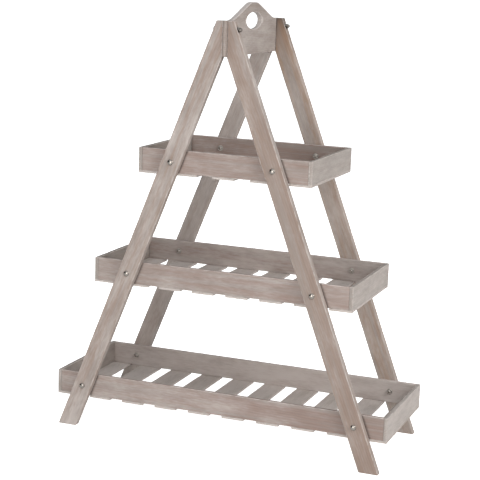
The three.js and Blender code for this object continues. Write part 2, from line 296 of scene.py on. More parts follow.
def limed_fir(name, pale, dark, grey, painted_shadow=None):
    """Fir with growth rings, brushed open and lime washed.

    The eye sees long soft streaks of greyed brown wood, hazy paler blotches where the wash lay
    thick, white in the brushed-out fibres and along the sanded arrises, and paler end grain.
    The last argument, if given, is a function that adds nodes for a painted shadow and returns
    their output.
    """
    m = bpy.data.materials.new(name)
    m.use_nodes = True
    m.node_tree.nodes.clear()
    grain = add(m, "Attribute", {}, attribute_name="grain")["Vector"]
    wear = add(m, "Attribute", {}, attribute_name="wear")["Vector"]
    wear = add(m, "SeparateXYZ", {"Vector": wear})
    arris, end, coverage = wear["X"], wear["Y"], wear["Z"]

    patches = {}
    for kind, (length, width, detail, rough) in FIR_PATCHES.items():
        size = (1 / length, 1 / width, 1 / width)
        place = add(m, "Mapping", {"Vector": grain, "Scale": size})["Vector"]
        look = {"Vector": place, "Scale": 1.0, "Detail": detail, "Roughness": rough}
        patches[kind] = add(m, "TexNoise", look)["Fac"]

    # The log leans a little in the board, so that its rings run out along it as long tongues.
    leaning = {"Vector": grain, "Scale": LOG_STRETCH, "Rotation": LOG_TURN}
    log = add(m, "Mapping", leaning)["Vector"]
    waves = {"Vector": log, "Scale": WAVE_SPACING / FIR_RING, **RING_WOBBLE}
    kinds = {"wave_type": "RINGS", "rings_direction": "X", "wave_profile": "SAW"}
    rings = add(m, "TexWave", waves, **kinds)["Fac"]

    # Late wood is the dark part of a ring, and the fibres break it up.
    wood = {"X": rings, "Y": patches["fibre"], "Z": patches["fleck"]}
    wood = add(m, "CombineXYZ", wood)["Vector"]
    late = add(m, "VectorMath", {0: wood, 1: LATE_WOOD_SHARES}, operation="DOT_PRODUCT")["Value"]
    late = {"Value": late, "From Min": LATE_WOOD_RANGE[0], "From Max": LATE_WOOD_RANGE[1]}
    late = add(m, "MapRange", late, interpolation_type="SMOOTHSTEP")["Result"]
    late = {0: late, 6: linear(pale), 7: linear(dark)}
    bare = add(m, "Mix", late, data_type="RGBA")[2]
    greyed = {"Value": patches["streak"], "To Max": GREYED_MOST}
    greyed.update({"From Min": GREYED_RANGE[0], "From Max": GREYED_RANGE[1]})
    greyed = add(m, "MapRange", greyed, interpolation_type="SMOOTHSTEP")["Result"]
    bare = add(m, "Mix", {0: greyed, 6: bare, 7: linear(grey)}, data_type="RGBA")[2]

    # The wash lies in blotches, fills the fibres and flecks, and takes less on late wood.
    wash = {"X": patches["blotch"], "Y": patches["fibre"], "Z": patches["fleck"]}
    wash = add(m, "CombineXYZ", wash)["Vector"]
    wash = add(m, "VectorMath", {0: wash, 1: WASH_SHARES}, operation="DOT_PRODUCT")["Value"]
    wash = add(m, "Math", {0: wash, 1: coverage}, operation="ADD")["Value"]
    wash = add(m, "Math", {0: rings, 1: RING_WASH, 2: wash}, operation="MULTIPLY_ADD")["Value"]
    wash = {"Value": wash, "From Min": WASH_STARTS, "From Max": WASH_STARTS + WASH_SPREAD}
    wash = add(m, "MapRange", wash, interpolation_type="SMOOTHSTEP")["Result"]

    # Sanding has laid the arrises open and the wash has settled there and in the end grain.
    rubbed = {0: patches["fleck"], 1: -ARRIS_WASH_WANDER, 2: arris}
    rubbed = add(m, "Math", rubbed, operation="MULTIPLY_ADD")["Value"]
    low, high = (reach - ARRIS_WASH_WANDER / 2 for reach in ARRIS_WASH_REACH)
    rubbed = {"Value": rubbed, "From Min": low, "From Max": high}
    rubbed.update({"To Min": ARRIS_WASH, "To Max": 0.0})
    rubbed = add(m, "MapRange", rubbed, interpolation_type="SMOOTHSTEP")["Result"]
    ends = {"Value": end, "From Min": END_WASH_REACH[0], "From Max": END_WASH_REACH[1]}
    ends.update({"To Min": END_WASH, "To Max": 0.0})
    ends = add(m, "MapRange", ends, interpolation_type="SMOOTHSTEP")["Result"]
    white = add(m, "Math", {0: wash, 1: rubbed}, operation="MAXIMUM")["Value"]
    white = add(m, "Math", {0: white, 1: ends}, operation="MAXIMUM")["Value"]
    colour = {0: white, 6: bare, 7: linear(LIME_WHITE)}
    colour = add(m, "Mix", colour, data_type="RGBA")[2]

    # Where there is far less than no lime, dirt and painted shade cover the wood instead, and the
    # last argument may add a painted shadow.
    grime_and_shade = {"Value": coverage, "From Min": GRIME_AND_SHADE_RANGE[0], "From Max": GRIME_AND_SHADE_RANGE[1]}
    grime_and_shade = add(m, "MapRange", grime_and_shade)["Result"]
    if painted_shadow:
        grime_and_shade = add(m, "Math", {0: grime_and_shade, 1: painted_shadow(m)}, operation="MAXIMUM")["Value"]
    colour = {0: grime_and_shade, 6: colour, 7: linear(GRIME_AND_SHADE)}
    colour = add(m, "Mix", colour, data_type="RGBA")[2]

    relief = add(m, "VectorMath", {0: wood, 1: RELIEF_SHARES}, operation="DOT_PRODUCT")["Value"]
    bump = {"Height": relief, "Strength": GRAIN_RELIEF_STRENGTH, "Distance": GRAIN_RELIEF}
    bump = add(m, "Bump", bump)["Normal"]
    rough = {"Value": patches["fibre"], "From Min": 0.2, "From Max": 0.8}
    rough["To Min"] = LIMED_ROUGHNESS + LIMED_ROUGHNESS_SPREAD
    rough["To Max"] = LIMED_ROUGHNESS - LIMED_ROUGHNESS_SPREAD
    rough = add(m, "MapRange", rough)["Result"]
    shader = {"Base Color": colour, "Roughness": rough, "IOR": LIMED_IOR, "Normal": bump}
    surface = add(m, "BsdfPrincipled", shader)["BSDF"]
    add(m, "OutputMaterial", {"Surface": surface})
    return m


leg_low, leg_high = (np.array(corner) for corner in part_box("front_right_leg"))
FOOT_HALF_SPAN, LEG_HEIGHT, CREST_FACE = leg_high[0], leg_high[2], leg_low[0]
LEG_HALF_THICKNESS = (leg_high[1] - leg_low[1]) / 2
LEG_LEAN = (FOOT_HALF_SPAN - LEG_TOP_HALF_SPAN) / LEG_HEIGHT
LEG_SLOPE_LENGTH = np.hypot(1, LEG_LEAN)
LEG_LEVEL_WIDTH = LEG_WIDTH * LEG_SLOPE_LENGTH
MITRE_FOOT = (FOOT_HALF_SPAN - LEG_LEVEL_WIDTH - CREST_FACE) / LEG_LEAN
CREST_BOLT_HEIGHT = sum(corner[2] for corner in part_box("crest_front_bolt")) / 2


def leg_edges(height):
    """The x of a right-hand leg's outer and inner edge: the lean, and the mitre's upright."""
    outer = FOOT_HALF_SPAN - LEG_LEAN * height
    return outer, np.maximum(outer - LEG_LEVEL_WIDTH, CREST_FACE)


def leg_half_width(height):
    """Half of a leg's width on the level, which the mitre narrows towards the top."""
    outer, inner = leg_edges(height)
    return (outer - inner) / 2


CREST_SEAT = leg_edges(CREST_BOLT_HEIGHT + SEAT_RADIUS)[0]

leg_fir = limed_fir("limed_fir_leg", FIR_PALE, FIR_DARK, FIR_GREY)
warm_fir = limed_fir("limed_fir_warm", BACK_RIGHT_PALE, BACK_RIGHT_DARK, FIR_GREY)

for corner_name, lime in LEG_LIME.items():
    node = f"{corner_name}_leg"
    low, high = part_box(node)
    hand = 1 if "right" in node else -1
    centre_y = (low[1] + high[1]) / 2
    kinks = [MITRE_FOOT - KINK_REACH, MITRE_FOOT + KINK_REACH]
    grid = carry_board(LEG_HEIGHT, leg_half_width, LEG_HALF_THICKNESS, kinks=kinks)
    across, through, height = np.moveaxis(grid, 2, 0)
    x = np.mean(leg_edges(height), axis=0) + across
    grid = np.stack([hand * x, centre_y + hand * through, height], axis=2)
    leg = closed_mesh(f"{node}_board", grid)

    reach = 2 * LEG_HALF_THICKNESS
    tools = []
    for tray in TRAYS:
        bolt_low, bolt_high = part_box(f"{tray}_tray_{corner_name}_bolt")
        x, _, z = (np.array(bolt_low) + np.array(bolt_high)) / 2
        ends = [(x, centre_y - reach, z), (x, centre_y + reach, z)]
        tools.append(round_bar("bore", *ends, BOLT_BORE))
    for start, radius in ((0.0, BOLT_BORE), (CREST_SEAT, SEAT_RADIUS)):
        ends = [(hand * s, centre_y, CREST_BOLT_HEIGHT) for s in (start, start + LEG_LEVEL_WIDTH)]
        tools.append(round_bar("bore", *ends, radius))
    cut(leg, tools)

    x, y, z = points_of(leg).T
    x = hand * x
    outer, inner = leg_edges(z)
    along = (z - LEG_LEAN * (x - FOOT_HALF_SPAN)) / LEG_SLOPE_LENGTH
    across = (x - outer + LEG_LEVEL_WIDTH / 2) / LEG_SLOPE_LENGTH
    edge_depth = np.minimum(outer - x, x - inner) / LEG_SLOPE_LENGTH
    depths = [np.minimum(z, LEG_HEIGHT - z), edge_depth, LEG_HALF_THICKNESS - np.abs(y - centre_y)]
    lime = lime + FOOT_LIME[corner_name] * np.exp(-z / FOOT_LIME_REACH)
    lime = lime + TOP_LIME[corner_name] * np.exp((z - LEG_HEIGHT) / TOP_LIME_REACH)
    pool = np.exp(-(((z - POOL_HEIGHT[corner_name]) / POOL_REACH) ** 2))
    lime = lime + POOL_LIME[corner_name] * pool
    # The front legs' outer edges are made paler: sanded wash and painted light.
    lime = lime + EDGE_LIME_AND_LIGHT[corner_name.split("_")[0]] * (outer - x < ARRIS_RADIUS / 4)
    # Painted shade darkens the leg along its joint with the crest board.
    seam = np.hypot(x - CREST_FACE, np.maximum(MITRE_FOOT - z, 0))
    lime = lime - SEAM_SHADE * np.exp(-seam / SEAM_SHADE_REACH)
    fir = warm_fir if corner_name == "back_right" else leg_fir
    dress_board(leg, node, "leg_wood", fir, [along, across, y - centre_y], depths, lime)

# ---- Crest board ----
# One fir board on edge between the four leg tops, sawn to a hump with hollow shoulders, with
# an oval hand hole cut through it. Its rims are rounded over, and the grain runs from the
# front of the stand to its back.

CREST_FLAT_HALF = 0.008
CROWN_RADIUS = 0.075
FLARE_RADIUS = 0.105
HAND_HOLE = (0.0505, 0.01975)  # half its length and half its height
HAND_HOLE_DEPTH = 0.042  # its centre, below the top of the hump
CREST_RIM = 0.0015  # radius of the rounded rims
CREST_GUARDED = 4 * CREST_RIM  # its ends lie between the legs, where no sander reached
CREST_FACE_SHARES = np.array([0.1, 0.25, 0.5, 0.75, 0.9])  # of the way from hole to outline
OUTLINE_STEP = 0.006
SAME_POINT = 1e-9  # points and directions that differ by less are one
CORNER_WALK = 0.001  # counted for each step round the outline, so that corners count too
CREST_LIME = 0.26
CROWN_LIME = 0.0
CREST_TOP_LIGHT = 1.0  # painted light on its upper edge, drawn as more lime
# painted light on the hand hole's wall, drawn as more lime
HAND_HOLE_LIGHT = 0.5
CREST_PALE, CREST_DARK = "#9c8e87", "#84786f"

crest_low, crest_high = (np.array(corner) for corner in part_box("crest_board"))
CREST_HALF_LENGTH = crest_high[1]
CREST_FOOT, CREST_TOP = crest_low[2], crest_high[2]
RAIL_FACE = CREST_HALF_LENGTH - 2 * LEG_HALF_THICKNESS


def crest_outline():
    """Core points and outward directions round the crest board's outline, in y and z.

    The core is the outline drawn in by the rim's radius. Straight stretches, corners where
    only the direction turns, hollow flare arcs and the round crown follow each other; a
    straight flank is tangent to both arcs, at atan2(spread, fall) - acos(sum / distance)."""
    spread = RAIL_FACE - CREST_FLAT_HALF
    fall = CROWN_RADIUS + FLARE_RADIUS - (CREST_TOP - LEG_HEIGHT)
    centres = np.hypot(spread, fall)
    flank = np.arctan2(spread, fall) - np.arccos((CROWN_RADIUS + FLARE_RADIUS) / centres)
    rim = CREST_RIM

    def straight(start, end, direction):
        steps = max(2, round(np.hypot(*np.subtract(end, start)) / OUTLINE_STEP))
        share = np.linspace(0, 1, steps + 1)[:, None]
        core = np.array(start) + share * np.subtract(end, start)
        return core, np.tile(np.array(direction, float), (steps + 1, 1))

    def swept(centre, radius, start, end, hollow=False, steps=10):
        angles = np.linspace(start, end, steps + 1)
        direction = np.stack([np.cos(angles), np.sin(angles)], axis=1)
        return np.array(centre) + radius * direction, -direction if hollow else direction

    right, foot, shoulder = CREST_HALF_LENGTH - rim, CREST_FOOT + rim, LEG_HEIGHT - rim
    quarter = np.pi / 2
    crown = (CREST_FLAT_HALF, CREST_TOP - CROWN_RADIUS)
    flare = (RAIL_FACE, LEG_HEIGHT + FLARE_RADIUS)
    low_bend = swept(flare, FLARE_RADIUS + rim, -quarter, -quarter - flank, hollow=True)
    high_bend = swept(crown, CROWN_RADIUS - rim, quarter - flank, quarter)
    half = [
        straight((0, foot), (right, foot), (0, -1)),
        swept((right, foot), 0, -quarter, 0, steps=3),
        straight((right, foot), (right, shoulder), (1, 0)),
        swept((right, shoulder), 0, 0, quarter, steps=3),
        straight((right, shoulder), (RAIL_FACE, shoulder), (0, 1)),
        low_bend,
        straight(low_bend[0][-1], high_bend[0][0], (np.sin(flank), np.cos(flank))),
        high_bend,
        straight((CREST_FLAT_HALF, CREST_TOP - rim), (0, CREST_TOP - rim), (0, 1)),
    ]
    core, out = (np.concatenate(part) for part in zip(*half))
    new = np.any(np.abs(np.diff(np.hstack([core, out]), axis=0)) > SAME_POINT, axis=1)
    core, out = core[1:][new], out[1:][new]
    mirror = np.array([-1, 1])
    return [np.concatenate([part, part[-2::-1] * mirror]) for part in (core, out)]


def crest_grid():
    """The crest board: a loop through the hole and round the rim, carried round the outline.

    A point is core + rim radius * direction. On the broad faces the core runs straight from
    the hole's ellipse to the outline. The hole's angle is the mean of the outline point's
    bearing from the hole and its share of the way walked round the outline."""
    core, out = crest_outline()
    hole_height = CREST_TOP - HAND_HOLE_DEPTH
    y, z = (core - [0, hole_height]).T / np.reshape(HAND_HOLE, (2, 1))
    bearing = np.unwrap(np.arctan2(z, y))
    walked = np.cumsum(np.hypot(*np.diff(core, axis=0, prepend=core[-1:]).T) + CORNER_WALK)
    around = bearing[0] + 2 * np.pi * walked / walked[-1]
    angle = 0.5 * bearing + 0.5 * around
    length, height = HAND_HOLE
    hole_out = -np.stack([np.cos(angle) / length, np.sin(angle) / height], axis=1)
    hole_out /= np.linalg.norm(hole_out, axis=1)[:, None]
    hole = np.stack([length * np.cos(angle), hole_height + height * np.sin(angle)], axis=1)
    hole_core = hole - CREST_RIM * hole_out

    half = (crest_high[0] - crest_low[0]) / 2 - CREST_RIM
    turns = np.radians([0, 30, 60, 90])
    columns = []
    for turn in turns:
        columns.append((1.0, half, np.cos(turn), np.sin(turn), 1))
    columns.append((1.0, 0.0, 0.0, 1.0, 1))
    for turn in turns[::-1]:
        columns.append((1.0, -half, -np.cos(turn), np.sin(turn), 1))
    columns += [(s, -half, -1.0, 0.0, 1) for s in CREST_FACE_SHARES[::-1]]
    for turn in turns:
        columns.append((0.0, -half, -np.cos(turn), np.sin(turn), 0))
    columns.append((0.0, 0.0, 0.0, 1.0, 0))
    for turn in turns[::-1]:
        columns.append((0.0, half, np.cos(turn), np.sin(turn), 0))
    columns += [(s, half, 1.0, 0.0, 1) for s in CREST_FACE_SHARES]
    outward, x_core, x_out, edge_out, rim_side = np.array(columns).T[:, None, :, None]
    middle = hole_core[:, None] + outward * (core - hole_core)[:, None]
    direction = np.where(rim_side == 1, out[:, None], hole_out[:, None])
    yz = middle + CREST_RIM * edge_out * direction
    x = (x_core + CREST_RIM * x_out)[..., 0] + np.zeros(yz.shape[:2])
    return np.stack([x, yz[..., 0], yz[..., 1]], axis=2)


crest = closed_mesh("crest_board_sawn", crest_grid(), ring=True)
tools = []
for centre_y in (LEG_HALF_THICKNESS - CREST_HALF_LENGTH, CREST_HALF_LENGTH - LEG_HALF_THICKNESS):
    ends = [(s * CREST_HALF_LENGTH, centre_y, CREST_BOLT_HEIGHT) for s in (-1, 1)]
    tools.append(round_bar("bore", *ends, BOLT_BORE))
cut(crest, tools)

x, y, z = points_of(crest).T
core = crest_outline()[0]
core = core[core[:, 1] > LEG_HEIGHT - 2 * CREST_RIM]
core = core[np.argsort(core[:, 0])]
skyline = np.interp(y, core[:, 0], core[:, 1] + CREST_RIM)
off_centre = np.hypot(y / HAND_HOLE[0], (z - CREST_TOP + HAND_HOLE_DEPTH) / HAND_HOLE[1])
hole_depth = (off_centre - 1) * HAND_HOLE[1]
edge_depth = np.minimum.reduce([skyline - z, z - CREST_FOOT, hole_depth])
side_depth = crest_high[0] - np.abs(x)
depths = [CREST_HALF_LENGTH - np.abs(y) + CREST_GUARDED, edge_depth, side_depth]
crest_fir = limed_fir("limed_fir_crest", CREST_PALE, CREST_DARK, FIR_GREY)
on_top = (skyline - z < CREST_RIM / 2) & (np.abs(y) < RAIL_FACE)
at_end = CREST_HALF_LENGTH - np.abs(y) < CREST_RIM
lime = np.interp(z, [LEG_HEIGHT, CREST_TOP], [CREST_LIME, CROWN_LIME])
# Painted light: the upper edge and the hand hole's wall are made paler, where the sky lamp falls
# on them.
lime = lime + CREST_TOP_LIGHT * on_top + HAND_HOLE_LIGHT * (hole_depth < CREST_RIM / 2)
# Painted shade darkens the crest board's ends along the legs.
lime = lime - SEAM_SHADE * np.exp(-side_depth / SEAM_SHADE_REACH) * at_end
dress_board(crest, "crest_board", "crest_wood", crest_fir, [y, z, x], depths, lime)

# ---- Tray rails ----
# Two thin fir boards on edge along each tray, front and back, butted between the tray's ends
# and bored near both ends for the bolts that hold them to the legs. The grain runs along
# them, and their upper arrises are rubbed white.

RAIL_RADIUS = 0.0011
RAIL_LIME = {  # at its left end, its middle and its right end
    "top_front": (0.28, 0.12, 0.08),
    "top_back": (0.20, 0.05, -0.08),
    "middle_front": (0.24, 0.12, 0.20),
    "middle_back": (0.30, 0.37, 0.37),
    "bottom_front": (0.26, 0.22, -0.12),
    "bottom_back": (0.42, 0.62, 0.56),
}
RAIL_GUARDED = 0.006  # its end arrises lie against the ends and show no rubbed white
LEG_SHADOW, LEG_SHADOW_REACH = 0.65, 0.0068  # painted shadow in the corner along a leg, and how far it reaches out
RAIL_PALE, RAIL_DARK = "#9a857c", "#7f6d66"


def box_board(node, axes, radius):
    """A board that fills a CAD node's box. axes gives the numbers, from x = 0 to z = 2, of
    the directions of its length, width and thickness. Returns the piece and what
    dress_board reads: each point's place along them, and its depths."""
    low, high = (np.array(corner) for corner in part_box(node))
    half, middle = (high - low) / 2, (high + low) / 2
    length, width, thickness = axes
    grid = carry_board(2 * half[length], lambda place: half[width] + 0 * place,
                       half[thickness], radius)
    handed = np.linalg.det(np.eye(3)[[width, thickness, length]])
    points = np.empty_like(grid)
    points[..., width] = grid[..., 0]
    points[..., thickness] = grid[..., 1] * handed
    points[..., length] = grid[..., 2] - half[length]
    return closed_mesh(f"{node}_board", points + middle), half, middle


def dress_box(piece, node, axes, half, middle, slot, material, lime):
    """Finish a board made by box_board, in the order of its length, width and thickness."""
    place = (points_of(piece) - middle)[:, list(axes)]
    depths = np.array(half)[list(axes)] - np.abs(place)
    dress_board(piece, node, slot, material, list(place.T), list(depths.T), lime)


def leg_shadow(m):
    """Painted shadow that each leg casts on a rail's outer face, in the corner along the leg.

    |x| + lean * z is the same all the way along a leg's edge, so its difference from the value
    at the leg's middle, over the slope's length, less half the leg's width, is how far a point
    lies from the leg."""
    place = add(m, "TexCoord", {})["Object"]
    place = add(m, "SeparateXYZ", {"Vector": place})
    level = add(m, "Math", {0: place["X"]}, operation="ABSOLUTE")["Value"]
    level = {0: place["Z"], 1: LEG_LEAN, 2: level}
    level = add(m, "Math", level, operation="MULTIPLY_ADD")["Value"]
    middle = FOOT_HALF_SPAN - LEG_LEVEL_WIDTH / 2
    level = add(m, "Math", {0: level, 1: middle}, operation="SUBTRACT")["Value"]
    level = add(m, "Math", {0: level}, operation="ABSOLUTE")["Value"]
    edge = LEG_LEVEL_WIDTH / 2
    dirt = {"Value": level, "From Min": edge, "From Max": edge + LEG_SHADOW_REACH * LEG_SLOPE_LENGTH}
    dirt.update({"To Min": LEG_SHADOW, "To Max": 0.0})
    dirt = add(m, "MapRange", dirt, interpolation_type="SMOOTHSTEP")["Result"]
    depth = add(m, "Math", {0: place["Y"]}, operation="ABSOLUTE")["Value"]
    outside = {0: depth, 1: RAIL_FACE - RAIL_RADIUS / 2}
    outside = add(m, "Math", outside, operation="GREATER_THAN")["Value"]
    return add(m, "Math", {0: dirt, 1: outside}, operation="MULTIPLY")["Value"]


# The rails' material paints a contact shadow along each leg.
rail_fir = limed_fir("limed_fir_rail", RAIL_PALE, RAIL_DARK, FIR_GREY, leg_shadow)
RAIL_AXES = (0, 2, 1)

for tray in TRAYS:
    for row in ("front", "back"):
        node = f"{tray}_tray_{row}_rail"
        rail, half, middle = box_board(node, RAIL_AXES, RAIL_RADIUS)
        tools = []
        for hand in ("left", "right"):
            bolt_low, bolt_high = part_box(f"{tray}_tray_{row}_{hand}_bolt")
            x, _, z = (np.array(bolt_low) + np.array(bolt_high)) / 2
            ends = [(x, middle[1] + s * half[0], z) for s in (-1, 1)]
            tools.append(round_bar("bore", *ends, BOLT_BORE))
        cut(rail, tools)
        share = points_of(rail)[:, 0] / half[0]
        lime = np.interp(share, [-1, 0, 1], RAIL_LIME[f"{tray}_{row}"])
        reach = half + [RAIL_GUARDED, 0, 0]
        dress_box(rail, node, RAIL_AXES, reach, middle, "rail_wood", rail_fir, lime)

# ---- Tray ends ----
# A thin fir board across each end of a tray, pinned over the end grain of its two rails. Its
# own end grain shows at the tray's corners as a pale upright strip.

END_RADIUS = 0.0011
END_LIME = {"top": 0.24, "middle": 0.36, "bottom": 0.48}
END_INNER_SHADE = 0.25  # painted shade: less lime on the inner faces, inside the tray
END_TOP_BARE = 0.35  # less on the upper edges, which hands have rubbed
END_GRAIN_GRIME = 0.20  # less on the end grain
END_SEAM_SHADE = 0.45  # painted shade in the joint between its end grain and the rail
END_GUARDED = 0.006  # the left ends' outer arrises show no rubbed white
END_AXES = (1, 2, 0)
END_PALE, END_DARK, END_GREY = "#9e948d", "#867d76", "#958e89"

end_fir = limed_fir("limed_fir_end", END_PALE, END_DARK, END_GREY)
for tray in TRAYS:
    for hand in ("left", "right"):
        node = f"{tray}_tray_{hand}_end"
        end_board, half, middle = box_board(node, END_AXES, END_RADIUS)
        x, y, z = (points_of(end_board) - middle).T
        inner_depth, outer_depth = half[0] + x, half[0] - x
        if hand == "left":
            inner_depth, outer_depth = outer_depth, inner_depth + END_GUARDED
        end_depth = half[1] - np.abs(y)
        at_end = end_depth < END_RADIUS
        side_depth = np.where(at_end, 2 * outer_depth, np.minimum(inner_depth, outer_depth))
        depths = [end_depth, half[2] - np.abs(z), side_depth]
        # The end grain takes less lime, and painted shade darkens it along the joint with the
        # rail.
        grime_and_shade = END_GRAIN_GRIME + END_SEAM_SHADE * np.exp(-inner_depth / SEAM_SHADE_REACH)
        # Painted shade darkens the inner faces.
        lime = END_LIME[tray] - grime_and_shade * at_end - END_INNER_SHADE * (inner_depth < END_RADIUS / 2)
        lime = lime - END_TOP_BARE * (half[2] - z < END_RADIUS / 2)
        dress_board(end_board, node, "end_wood", end_fir, [y, z, x], depths, lime)

# ---- Slats ----
# Thin fir slats laid across under the rails, five, eight and ten to a tray, and pinned from
# below. They are sawn thinner and took the wash less evenly, so they look greyer.

SLAT_RADIUS = 0.0009
SLAT_AXES = (1, 0, 2)
SLAT_LIME = 0.62
SLAT_LIME_SPREAD = 0.08
SLAT_SHADE_TREND = -0.35  # painted shade: less lime per metre to the right of the middle
SLAT_PALE, SLAT_DARK, SLAT_GREY = "#9b8f83", "#82766b", "#8f887f"

slat_fir = limed_fir("limed_fir_slat", SLAT_PALE, SLAT_DARK, SLAT_GREY)
slat_nodes = sorted(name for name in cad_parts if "_slat_" in name)
for node in slat_nodes:
    slat, half, middle = box_board(node, SLAT_AXES, SLAT_RADIUS)
    lime = SLAT_LIME + SLAT_LIME_SPREAD * rng.uniform(-1, 1)
    # Painted shade: the slats are made darker towards the right.
    lime += SLAT_SHADE_TREND * max(middle[0], 0)
    dress_box(slat, node, SLAT_AXES, half, middle, "slat_wood", slat_fir, lime)

# ---- Pins ----
# Bright steel brads driven up through every slat into both rails, two at each crossing. Their
# small domed heads stand a hair proud under the trays and are lost from sight above.

PIN_SPREAD = 0.014  # each way from the slat's middle
PIN_HEAD = (0.0015, 0.0003, 0.0001)  # radius, height and upright rim
PIN_RADIUS = 0.0007
PIN_LENGTH = 0.016
PIN_TIP, PIN_TIP_RADIUS = 0.002, PIN_RADIUS / 8
PIN_SIDES = 8
STEEL_SIDES = 48
ZINC, ZINC_CLOUD, ZINC_ROUGHNESS = "#c9c4bd", "#a9a5a0", 0.42
PLATING_GRAIN = 0.0006  # coarser than the real crystals of the plating, so that it shows
PLATING_DETAIL = 3.0
PLATING_RANGE = (0.3, 0.7)  # of the speckle, from dull to bright
PLATING_GLOSS = (-0.05, 0.07)  # what it takes off the roughness and adds to it
PLATING_RELIEF, PLATING_RELIEF_STRENGTH = 0.0001, 0.15


def plated_steel(name, bright, cloudy, roughness):
    """Plated steel: a clear reflection of the lamps, dark where the room is, and a faint
    cloud and speckle of handling in the plate."""
    m = bpy.data.materials.new(name)
    m.use_nodes = True
    m.node_tree.nodes.clear()
    place = add(m, "TexCoord", {})["Object"]
    cloud = {"Vector": place, "Scale": 1 / PLATING_GRAIN, "Detail": PLATING_DETAIL}
    cloud = add(m, "TexNoise", cloud)["Fac"]
    rough = {"Value": cloud, "From Min": PLATING_RANGE[0], "From Max": PLATING_RANGE[1]}
    low, high = (roughness + change for change in PLATING_GLOSS)
    rough = add(m, "MapRange", {**rough, "To Min": low, "To Max": high})["Result"]
    dull = {0: cloud, 6: linear(bright), 7: linear(cloudy)}
    colour = add(m, "Mix", dull, data_type="RGBA")[2]
    bump = {"Height": cloud, "Strength": PLATING_RELIEF_STRENGTH, "Distance": PLATING_RELIEF}
    bump = add(m, "Bump", bump)["Normal"]
    shader = {"Base Color": colour, "Metallic": 1.0, "Roughness": rough, "Normal": bump}
    surface = add(m, "BsdfPrincipled", shader)["BSDF"]
    add(m, "OutputMaterial", {"Surface": surface})
    return m


def turned(places, radii, foot, axis, sides=STEEL_SIDES):
    """Grid of points round an axis: foot + place * axis + radius * direction(angle).

    places and radii are arrays along the profile, or also round it, angle by angle. axis is
    a unit vector along x, y or z, which its numbers moved on by one place are square to."""
    axis = np.array(axis, float)
    side = np.array([axis[2], axis[0], axis[1]])
    angle = np.linspace(0, 2 * np.pi, sides, endpoint=False)
    around = np.cos(angle)[:, None] * side + np.sin(angle)[:, None] * np.cross(axis, side)
    places, radii = (np.broadcast_to(np.transpose(a), (sides, len(a))).T for a in (places, radii))
    return np.array(foot) + places[..., None] * axis + radii[..., None] * around


def dome(radius, height, rim, steps=10):
    """Profile of a dome from near its top to its rim: quarter of an ellipse, then upright."""
    turn = np.radians(np.linspace(2, 90, steps))
    places = np.append(-rim - (height - rim) * np.cos(turn), 0.0)
    return places, np.append(radius * np.sin(turn), radius)


zinc = plated_steel("zinc_plated_steel", ZINC, ZINC_CLOUD, ZINC_ROUGHNESS)
head_places, head_radii = dome(*PIN_HEAD, steps=3)
places = np.concatenate([head_places, [0, PIN_LENGTH - PIN_TIP, PIN_LENGTH]])
radii = np.concatenate([head_radii, [PIN_RADIUS, PIN_RADIUS, PIN_TIP_RADIUS]])
pin = turned(places, radii, (0, 0, 0), (0, 0, 1), PIN_SIDES)
for tray in TRAYS:
    slats = np.array([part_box(node) for node in slat_nodes if node.startswith(tray)])
    rails = np.array([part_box(f"{tray}_tray_{row}_rail") for row in ("front", "back")])
    x = slats[:, :, 0].mean(axis=1)[:, None, None] + PIN_SPREAD * np.array([[-1], [1]])
    x, y = np.broadcast_arrays(x, rails[:, :, 1].mean(axis=1))
    feet = np.stack([x, y, np.full_like(x, slats[:, 0, 2].min())], axis=-1).reshape(-1, 1, 1, 3)
    pins = closed_mesh(f"{tray}_tray_pins", feet + pin)
    finish_piece(pins, "bolt_steel", zinc)

# ---- Tray bolts ----
# Nickel-plated steel bolts with low smooth domed heads, one through each leg and rail. A
# washer lies under the head on the leg. Inside the tray a zinc-plated washer lies under the
# hexagon nut, and the thread's end stands a little out of the nut.

HEAD_RADIUS = 0.0065
HEAD_HEIGHT = 0.0040
HEAD_RIM = 0.0006  # the upright rim under the dome
WASHER_RADIUS = 0.0070
WASHER_THICKNESS = 0.0012
WASHER_BEVEL = 0.0003
WASHER_BORE = 0.0032
SHANK_RADIUS = 0.0030
THREAD_PITCH = 0.0010
THREAD_DEPTH = 0.0006
THREAD_LENGTH = 0.0100
NUT_ACROSS_FLATS = 0.010
NUT_HEIGHT = 0.0050
NUT_FACE_SHARE = 0.95  # of the width across flats, left flat at each face
NUT_CONE = np.radians(30)
NUT_COUNTERSINK = 0.0005
NICKEL, NICKEL_CLOUD, NICKEL_ROUGHNESS = "#a8a29b", "#96908a", 0.16


def bolt(name, foot, axis, length):
    """Head, plain shank and thread as one closed surface. foot is under the head.

    Round the thread the radius is R - depth * |2 frac(place / pitch - angle / turn) - 1|."""
    head_places, head_radii = dome(HEAD_RADIUS, HEAD_HEIGHT, HEAD_RIM)
    thread = np.arange(length - THREAD_LENGTH, length - THREAD_DEPTH, THREAD_PITCH / 8)
    shank_places = [0, length - THREAD_LENGTH - THREAD_PITCH]
    places = np.concatenate([head_places, shank_places, thread, [length]])
    body_radii = np.full(len(shank_places) + len(thread), SHANK_RADIUS)
    radii = np.concatenate([head_radii, body_radii, [SHANK_RADIUS - THREAD_DEPTH]])
    turn = np.arange(STEEL_SIDES) / STEEL_SIDES
    saw = np.abs(2 * np.mod(thread[:, None] / THREAD_PITCH - turn, 1) - 1)
    radii = np.repeat(radii[:, None], STEEL_SIDES, axis=1)
    radii[-1 - len(thread) : -1] -= THREAD_DEPTH * saw
    places = np.repeat(places[:, None], STEEL_SIDES, axis=1)
    return closed_mesh(name, turned(places, radii, foot, axis))


def ring_of(name, places, radii, foot, axis):
    """A closed ring, such as a washer or a nut, from a closed profile carried round."""
    grid = turned(places[::-1], radii[::-1], foot, axis)
    return closed_mesh(name, np.moveaxis(grid, 0, 1), ring=True)


